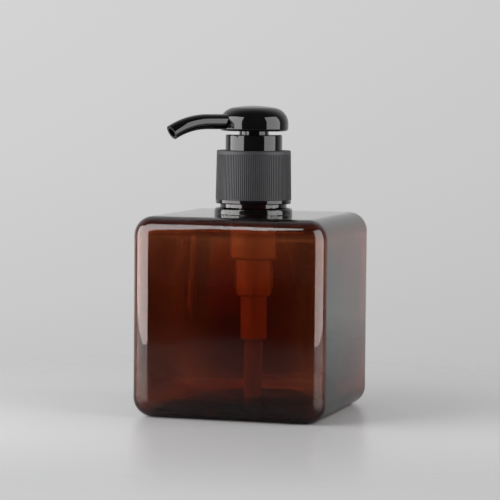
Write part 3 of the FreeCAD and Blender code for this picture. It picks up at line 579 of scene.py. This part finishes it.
rib_low = CLOSURE_LIP + CLOSURE_BAND
rib_high = CLOSURE_TOP - CLOSURE_BAND
skirt = [
    *arc(CLOSURE_BORE + BORE_EDGE_ROUND, CLOSURE_LIP + BORE_EDGE_ROUND, BORE_EDGE_ROUND, 180, 270, 3),
    *arc(LIP_RADIUS - CLOSURE_ROUND, CLOSURE_LIP + CLOSURE_ROUND, CLOSURE_ROUND, 270, 360, 6),
    (LIP_RADIUS, rib_low - RIB_LEDGE), (LIP_RADIUS - RIB_LEDGE, rib_low),
    (LIP_RADIUS - RIB_HEIGHT, rib_low), (LIP_RADIUS - RIB_HEIGHT, rib_low + RIB_LEDGE),
    (TOP_RADIUS - RIB_HEIGHT, rib_high - RIB_LEDGE), (TOP_RADIUS - RIB_HEIGHT, rib_high),
    (TOP_RADIUS - RIB_LEDGE, rib_high), (TOP_RADIUS, rib_high + RIB_LEDGE),
    *arc(TOP_RADIUS - CLOSURE_ROUND, CLOSURE_TOP - CLOSURE_ROUND, CLOSURE_ROUND, 0, 90, 6),
    *arc(CLOSURE_HOLE + HOLE_ROUND, CLOSURE_TOP - HOLE_ROUND, HOLE_ROUND, 90, 180, 3),
    (CLOSURE_HOLE, CLOSURE_UNDER), (CLOSURE_BORE, CLOSURE_UNDER),
]
CAP_WALL = (74.6, 89.0)
CAP_TURNS = 1.0
CAP_FOOT = 0.9375
CAP_CREST = 0.6375
cap_thread_z = NECK_TOP - THREAD_DROP - THREAD_PITCH * CAP_TURNS
cap_thread = threaded_wall(closure_angles, CLOSURE_BORE, -THREAD_DEPTH, *CAP_WALL, WALL_STEP,
                           start_z=cap_thread_z, turns=CAP_TURNS, foot=CAP_FOOT, crest=CAP_CREST)
closure_rings = turned(skirt, closure_angles) + cap_thread[::-1]
closure = even_shading(skin("closure_skirt", closure_rings, closed=True))
print("closure skirt:", len(closure_rings), "rings")

# %% [markdown]
# A grip rib is a long narrow wedge with a blunt crest. It leans in with the skirt and is sunk a little
# into it, so that no gap shows at its foot, and its ends run under the two bands.

# %% Grip ribs by Geometry Nodes
RIB_FOOT = 0.5
RIB_CREST = 0.22
RIB_SINK = 0.08
CREST_DROP = 0.04
CREST_FLARE = 0.05
CREST_TUCK = 0.03


def rib_section(radius, height):
    """The outline of a rib across its length, at one height."""
    foot = radius - RIB_HEIGHT - RIB_SINK
    flare = RIB_CREST / 2 + CREST_FLARE
    crest = RIB_CREST / 2 - CREST_TUCK
    return [(foot, -RIB_FOOT / 2, height), (radius - CREST_DROP, -flare, height),
            (radius, -crest, height), (radius, crest, height),
            (radius - CREST_DROP, flare, height), (foot, RIB_FOOT / 2, height)]


rib = skin("one_rib", [rib_section(LIP_RADIUS, rib_low), rib_section(TOP_RADIUS, rib_high)],
           closed=False)

ring_of_ribs = bpy.data.node_groups.new("ring_of_ribs", "GeometryNodeTree")
for name, kind in (("Rib", "NodeSocketObject"), ("Count", "NodeSocketInt"),
                   ("Finish", "NodeSocketMaterial")):
    ring_of_ribs.interface.new_socket(name, in_out="INPUT", socket_type=kind)
ring_of_ribs.interface.new_socket("Geometry", in_out="OUTPUT", socket_type="NodeSocketGeometry")
given = add(ring_of_ribs, "NodeGroupInput").outputs
points = add(ring_of_ribs, "GeometryNodePoints", {"Count": given["Count"]})
number = add(ring_of_ribs, "GeometryNodeInputIndex")
share = add(ring_of_ribs, "ShaderNodeMath", {
    0: number.outputs["Index"], 1: given["Count"]}, operation="DIVIDE")
turn = add(ring_of_ribs, "ShaderNodeMath", {
    0: share.outputs["Value"], 1: 2 * math.pi}, operation="MULTIPLY")
spin = add(ring_of_ribs, "ShaderNodeCombineXYZ", {"Z": turn.outputs["Value"]})
source = add(ring_of_ribs, "GeometryNodeObjectInfo", {"Object": given["Rib"]})
copies = add(ring_of_ribs, "GeometryNodeInstanceOnPoints", {
    "Points": points.outputs[0], "Instance": source.outputs["Geometry"],
    "Rotation": spin.outputs["Vector"]})
solid = add(ring_of_ribs, "GeometryNodeRealizeInstances", {"Geometry": copies.outputs["Instances"]})
finished = add(ring_of_ribs, "GeometryNodeSetMaterial", {
    "Geometry": solid.outputs["Geometry"], "Material": given["Finish"]})
add(ring_of_ribs, "NodeGroupOutput", {"Geometry": finished.outputs["Geometry"]})

ribs = bpy.data.objects.new("closure_ribs", bpy.data.meshes.new("closure_ribs"))
bpy.context.collection.objects.link(ribs)
modifier = ribs.modifiers.new("ring of ribs", "NODES")
modifier.node_group = ring_of_ribs
values = {"Rib": rib, "Count": RIB_COUNT, "Finish": black_satin}
for item in ring_of_ribs.interface.items_tree:
    if item.in_out == "INPUT":
        modifier[item.identifier] = values[item.name]
settle(ribs)
bpy.data.objects.remove(rib)
dress(closure, black_satin, "closure", "black_satin", "closure")
dress(ribs, black_satin, "closure", "black_satin", "closure")
closure.data.materials.append(black_gloss)
polished = [face for face in closure.data.polygons if face.center.z < rib_low * MM]
for face in polished:
    face.material_index = 1
print(len(polished), "faces of the lower band are polished")

# %% [markdown]
# ## Head
# The head is a hollow dome with a hub that grips the stem, and a round spout that leaves its side and
# bends down. The CAD solid already has the exact curves and their true normals, so it keeps its shape
# and only takes the polished black. So do the collar and the stem.

# %% Finishes for the CAD pieces
CAD_FINISHES = {
    "actuator": black_gloss,
    "chaplet": black_gloss,
    "stem": black_gloss,
    "housing": natural_plastic,
    "dip_tube": clear_tube,
    "piston": white_plastic,
    "piston_seat": white_plastic,
    "gasket": white_foam,
    "inlet_ball": bright_steel,
    "outlet_ball": bright_steel,
}
for name, material in CAD_FINISHES.items():
    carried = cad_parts[name]
    carried.data.materials.clear()
    carried.data.materials.append(material)
print(len(CAD_FINISHES), "CAD pieces dressed")

# %% [markdown]
# ## Return spring
# A coil of drawn steel wire stands between the housing's ledge and the valve seat. Its first and last
# turns lie close, as on a real compression spring, and those between are spread. A curve with a bevel
# would do, but a round section carried along the coil's own formula gives a clean closed tube.

# %% Return spring
COIL_RADIUS = 4.05
WIRE_RADIUS = 0.45
SPRING_LOW = 40.62
SPRING_HIGH = 53.88
COIL_TURNS = 8
DEAD_TURNS = 1
DEAD_SPACING = 1.06
STEPS_PER_TURN = 40
WIRE_SIDES = 12

coil_low = SPRING_LOW + WIRE_RADIUS
coil_rise = SPRING_HIGH - SPRING_LOW - 2 * WIRE_RADIUS
dead_rise = 2 * WIRE_RADIUS * DEAD_SPACING * DEAD_TURNS
live_pitch = (coil_rise - 2 * dead_rise) / (COIL_TURNS - 2 * DEAD_TURNS)


def coil_height(turn):
    """Height of the wire's middle after so many turns."""
    if turn <= DEAD_TURNS:
        return coil_low + dead_rise * turn / DEAD_TURNS
    if turn >= COIL_TURNS - DEAD_TURNS:
        return coil_low + coil_rise - dead_rise * (COIL_TURNS - turn) / DEAD_TURNS
    return coil_low + dead_rise + live_pitch * (turn - DEAD_TURNS)


wire_rings = []
for step in range(COIL_TURNS * STEPS_PER_TURN + 1):
    turn = step / STEPS_PER_TURN
    angle = 2 * math.pi * turn
    outwards = Vector((math.cos(angle), math.sin(angle), 0))
    middle = outwards * COIL_RADIUS + Vector((0, 0, coil_height(turn)))
    wire_rings.append([
        middle + WIRE_RADIUS * (outwards * math.cos(side) + Vector((0, 0, math.sin(side))))
        for side in (2 * math.pi * count / WIRE_SIDES for count in range(WIRE_SIDES))
    ])
spring = skin("return_spring_wire", wire_rings, closed=False)
spring.data.materials.append(bright_steel)
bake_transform(spring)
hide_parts("return_spring")
print(f"return spring: live pitch {live_pitch:.2f} mm")

# %% [markdown]
# ## Floor
# The bottle stands on a pale, slightly glossy table. A round plate would show its edge, so to the
# camera, and to rays through the bottle, it fades into the background away from the bottle. Rays
# through the bottle see the table with painted shade, dimmer than it is lit. Glossy faces mirror the
# table with painted shade: darker in front, with an end towards the camera, and giving way to the
# backdrop behind. The Light Path node tells these rays apart. Several lit and shaded tables could do it
# too, but their edges would show from other sides.

# %% Where the floor is seen
FADE_RANGE = (0.07, 0.20)
BACK_RANGE = (-0.05, -0.30)

pale_table, tree, place = blank_material("pale_table")
ray = add(tree, "ShaderNodeLightPath").outputs
distance = add(tree, "ShaderNodeVectorMath", {0: place}, operation="LENGTH")
fade = add(tree, "ShaderNodeMapRange", {
    "Value": distance.outputs["Value"], "From Min": FADE_RANGE[0], "From Max": FADE_RANGE[1]},
    interpolation_type="SMOOTHSTEP")
direct = add(tree, "ShaderNodeMath", {
    0: ray["Is Camera Ray"], 1: ray["Is Transmission Ray"]}, operation="MAXIMUM")
faded = add(tree, "ShaderNodeMath", {
    0: fade.outputs["Result"], 1: direct.outputs["Value"]}, operation="MULTIPLY")
forward = add(tree, "ShaderNodeVectorMath", {0: place, 1: towards_camera}, operation="DOT_PRODUCT")
behind = add(tree, "ShaderNodeMapRange", {
    "Value": forward.outputs["Value"], "From Min": BACK_RANGE[0], "From Max": BACK_RANGE[1]})
mirrored = add(tree, "ShaderNodeMath", {
    0: behind.outputs["Result"], 1: ray["Is Glossy Ray"]}, operation="MULTIPLY")
gone = add(tree, "ShaderNodeMath", {0: faded.outputs["Value"], 1: mirrored.outputs["Value"]})
print(f"the table fades from {FADE_RANGE[0]} to {FADE_RANGE[1]} m from the bottle's axis")

# %% Shade of the floor
TABLE_SHADE = "bebebf"
TABLE_ROUGHNESS = 0.28
TABLE_IOR = 1.3
FRONT_BEARINGS = (0.45, 0.80)
PAINTED_FRONT_SHADE_LEVELS = (0.56, 0.38)
END_RANGE = (0.24, 0.30)
END_LEVEL = 0.1
TABLE_THROUGH_PAINTED_SHADE = 0.55

# Painted shade: reflections see the table darker in front and at its end towards the camera, and rays
# through the bottle see it dimmer.
bearing = add(tree, "ShaderNodeMath", {
    0: forward.outputs["Value"], 1: distance.outputs["Value"]}, operation="DIVIDE")
in_front = add(tree, "ShaderNodeMapRange", {
    "Value": bearing.outputs["Value"], "From Min": FRONT_BEARINGS[0], "From Max": FRONT_BEARINGS[1],
    "To Min": PAINTED_FRONT_SHADE_LEVELS[0], "To Max": PAINTED_FRONT_SHADE_LEVELS[1]})
ending = add(tree, "ShaderNodeMapRange", {
    "Value": forward.outputs["Value"], "From Min": END_RANGE[0], "From Max": END_RANGE[1],
    "To Min": 1.0, "To Max": END_LEVEL})
painted_front_shade = add(tree, "ShaderNodeMath", {
    0: in_front.outputs["Result"], 1: ending.outputs["Result"]}, operation="MULTIPLY")
through = add(tree, "ShaderNodeMix", {0: ray["Is Transmission Ray"], 2: 1.0, 3: TABLE_THROUGH_PAINTED_SHADE})
level = add(tree, "ShaderNodeMix", {
    0: ray["Is Glossy Ray"], 2: through.outputs[0], 3: painted_front_shade.outputs["Value"]})
shade = add(tree, "ShaderNodeVectorMath", {
    0: srgb(TABLE_SHADE)[:3], "Scale": level.outputs[0]}, operation="SCALE")
table = add(tree, "ShaderNodeBsdfPrincipled", {
    "Base Color": shade.outputs["Vector"], "Roughness": TABLE_ROUGHNESS, "IOR": TABLE_IOR})
clear = add(tree, "ShaderNodeBsdfTransparent")
mixed = add(tree, "ShaderNodeMixShader", {
    0: gone.outputs["Value"], 1: table.outputs["BSDF"], 2: clear.outputs["BSDF"]})
add(tree, "ShaderNodeOutputMaterial", {"Surface": mixed.outputs["Shader"]})
print("table:", len(tree.nodes), "nodes")

# %% Floor
FLOOR_RADIUS = 0.60
FLOOR_SEGMENTS = 96

plate = bmesh.new()
bmesh.ops.create_circle(plate, cap_ends=True, radius=FLOOR_RADIUS, segments=FLOOR_SEGMENTS)
floor_data = bpy.data.meshes.new("floor")
plate.to_mesh(floor_data)
plate.free()
floor_data.materials.append(pale_table)
floor = bpy.data.objects.new("floor", floor_data)
bpy.context.collection.objects.link(floor)
print(f"floor: {2 * FLOOR_RADIUS:.2f} m across")

# %% [markdown]
# ## Studio light
# Two large softboxes stand upright on the table, left and right of the bottle. Their mirror images are
# the pale stripes down every glossy black cylinder, and their edges were read from those stripes. A
# third lamp carries the left one higher and draws the white line along the bottle's top edge. On a set
# a flag would keep it off the pump. Here light linking does that: the lamp lights one collection only.

# %% Softboxes
SOFTBOX_DISTANCE = 0.28
SOFTBOX_TOP = 0.35
EDGE_LAMP_TOP = 0.61
FACING = 55
LEFT_RADIANCE = 5.5
RIGHT_RADIANCE = 3.85


def softbox(name, facing, first, last, low, high, radiance):
    """An upright area lamp that is seen from the bottle between two bearings from the camera."""
    angle = math.radians(facing)
    outwards = towards_camera * math.cos(angle) + view_right * math.sin(angle)
    along = view_right * math.cos(angle) - towards_camera * math.sin(angle)
    ends = [SOFTBOX_DISTANCE * math.tan(math.radians(bearing - facing)) for bearing in (first, last)]
    data = bpy.data.lights.new(name, "AREA")
    data.shape = "RECTANGLE"
    data.size = ends[1] - ends[0]
    data.size_y = high - low
    data.energy = radiance * math.pi * data.size * data.size_y
    lamp = bpy.data.objects.new(name, data)
    lamp.location = (outwards * SOFTBOX_DISTANCE + along * sum(ends) / 2
                     + Vector((0, 0, (low + high) / 2)))
    lamp.rotation_mode = "QUATERNION"
    lamp.rotation_quaternion = outwards.to_track_quat("Z", "Y")
    lamp.visible_camera = False
    bpy.context.collection.objects.link(lamp)
    print(f"{name}: {data.size:.2f} by {data.size_y:.2f} m, {data.energy:.1f} W")
    return lamp


softbox("softbox_left", -FACING, first=-109, last=-41, low=0, high=SOFTBOX_TOP,
        radiance=LEFT_RADIANCE)
softbox("softbox_right", FACING, first=42, last=95, low=0, high=SOFTBOX_TOP,
        radiance=RIGHT_RADIANCE)
edge_lamp = softbox("edge_lamp", -FACING, first=-76, last=-36, low=SOFTBOX_TOP, high=EDGE_LAMP_TOP,
                    radiance=LEFT_RADIANCE)
lit_alone = bpy.data.collections.new("lit_by_the_edge_lamp")
lit_alone.objects.link(bottle)
edge_lamp.light_linking.receiver_collection = lit_alone

# %% [markdown]
# The world stands for the rest of the room. Reflections and diffuse light see a room that goes from
# dark in front, through a dim ceiling, to the lit backdrop behind. A ramp over the angle to the far
# side gives that, and its levels were matched to what the glossy faces mirror.

# %% Room
FAR_SIDE_RISE = math.radians(10)
WALL_LEVELS = [(0.0, 0.05), (0.42, 0.05), (0.50, 0.07), (0.61, 0.14), (0.70, 0.26), (0.76, 0.40),
               (0.81, 0.52), (0.87, 0.64)]

room = bpy.data.worlds.new("studio")
room.use_nodes = True
tree = room.node_tree
tree.nodes.clear()
ray = add(tree, "ShaderNodeLightPath").outputs
direction = add(tree, "ShaderNodeTexCoord").outputs["Generated"]
far_side = Vector((0, 0, math.sin(FAR_SIDE_RISE))) - towards_camera * math.cos(FAR_SIDE_RISE)
facing = add(tree, "ShaderNodeVectorMath", {0: direction, 1: far_side}, operation="DOT_PRODUCT")
share = add(tree, "ShaderNodeMapRange", {
    "Value": facing.outputs["Value"], "From Min": -1.0, "From Max": 1.0})
walls = add(tree, "ShaderNodeValToRGB", {"Fac": share.outputs["Result"]})
set_stops(walls, [(position, (grey, grey, grey, 1)) for position, grey in WALL_LEVELS])
print("room:", len(WALL_LEVELS), "levels from the front to the back")

# %% [markdown]
# The camera sees a pale sweep of paper, a little darker low down and to the right. Rays that come
# straight through the bottle see the same sweep, dimmed by its height: painted shade and light that
# draw the dark and light bands in the amber. Rays that the bottle bends far aside see it in full. Dark
# cards behind the bottle would do this on a set, and a ramp in the world keeps them out of the picture.

# %% Backdrop
SWEEP_RISE = (-0.18, 0.06)
SWEEP_SHADES = [(0.0, "c8c8c8"), (0.17, "c2c2c3"), (0.26, "bfbfc1"), (0.40, "c6c6c6"),
                (0.60, "cacaca"), (0.90, "cfcfcf")]
FALLOFF_REACH = 0.1
FALLOFF_LEVELS = (1.06, 0.98)

rise = add(tree, "ShaderNodeSeparateXYZ", {"Vector": direction}).outputs["Z"]
height = add(tree, "ShaderNodeMapRange", {
    "Value": rise, "From Min": SWEEP_RISE[0], "From Max": SWEEP_RISE[1]})
sweep = add(tree, "ShaderNodeValToRGB", {"Fac": height.outputs["Result"]})
sweep.color_ramp.interpolation = "B_SPLINE"
set_stops(sweep, [(position, srgb(code)) for position, code in SWEEP_SHADES])
across = add(tree, "ShaderNodeVectorMath", {0: direction, 1: view_right}, operation="DOT_PRODUCT")
falloff = add(tree, "ShaderNodeMapRange", {
    "Value": across.outputs["Value"], "From Min": -FALLOFF_REACH, "From Max": FALLOFF_REACH,
    "To Min": FALLOFF_LEVELS[0], "To Max": FALLOFF_LEVELS[1]})
print("sweep:", len(SWEEP_SHADES), "shades from low to high")

# %% Backdrop through the bottle
THROUGH_RISE = (-0.13, 0.07)
PAINTED_THROUGH_SHADE_LEVELS = [(0.0, 0.45), (0.076, 0.62), (0.168, 0.30), (0.288, 0.76), (0.35, 0.52),
                  (0.60, 0.35)]
ASIDE_RANGE = (0.15, 0.45)

# Painted shade and light: rays straight through the bottle see the backdrop in these darker and lighter
# bands.
low_rise = add(tree, "ShaderNodeMapRange", {
    "Value": rise, "From Min": THROUGH_RISE[0], "From Max": THROUGH_RISE[1]})
through = add(tree, "ShaderNodeValToRGB", {"Fac": low_rise.outputs["Result"]})
through.color_ramp.interpolation = "EASE"
set_stops(through, [(position, (grey, grey, grey, 1)) for position, grey in PAINTED_THROUGH_SHADE_LEVELS])
aside = add(tree, "ShaderNodeMath", {0: across.outputs["Value"]}, operation="ABSOLUTE")
ahead = add(tree, "ShaderNodeMapRange", {
    "Value": aside.outputs["Value"], "From Min": ASIDE_RANGE[0], "From Max": ASIDE_RANGE[1],
    "To Min": 1.0, "To Max": 0.0})
straight = add(tree, "ShaderNodeMath", {
    0: ahead.outputs["Result"], 1: ray["Is Transmission Ray"]}, operation="MULTIPLY")
dimmed = add(tree, "ShaderNodeMix", {
    0: straight.outputs["Value"], 2: 1.0, 3: through.outputs["Color"]})
brightness = add(tree, "ShaderNodeMath", {
    0: falloff.outputs["Result"], 1: dimmed.outputs[0]}, operation="MULTIPLY")
backdrop = add(tree, "ShaderNodeVectorMath", {
    0: sweep.outputs["Color"], "Scale": brightness.outputs["Value"]}, operation="SCALE")
dimmest = min(grey for _, grey in PAINTED_THROUGH_SHADE_LEVELS)
print(f"through the bottle the backdrop falls to {dimmest:.2f} of its level")

# %% World
direct = add(tree, "ShaderNodeMath", {
    0: ray["Is Camera Ray"], 1: ray["Is Transmission Ray"]}, operation="MAXIMUM")
seen = add(tree, "ShaderNodeMix", {
    0: direct.outputs["Value"], 6: walls.outputs["Color"], 7: backdrop.outputs["Vector"]},
    data_type="RGBA")
glow = add(tree, "ShaderNodeBackground", {"Color": seen.outputs[2], "Strength": 1.0})
add(tree, "ShaderNodeOutputWorld", {"Surface": glow.outputs["Background"]})
bpy.context.scene.world = room
bpy.context.scene.view_settings.view_transform = "Standard"
print("world:", len(tree.nodes), "nodes")
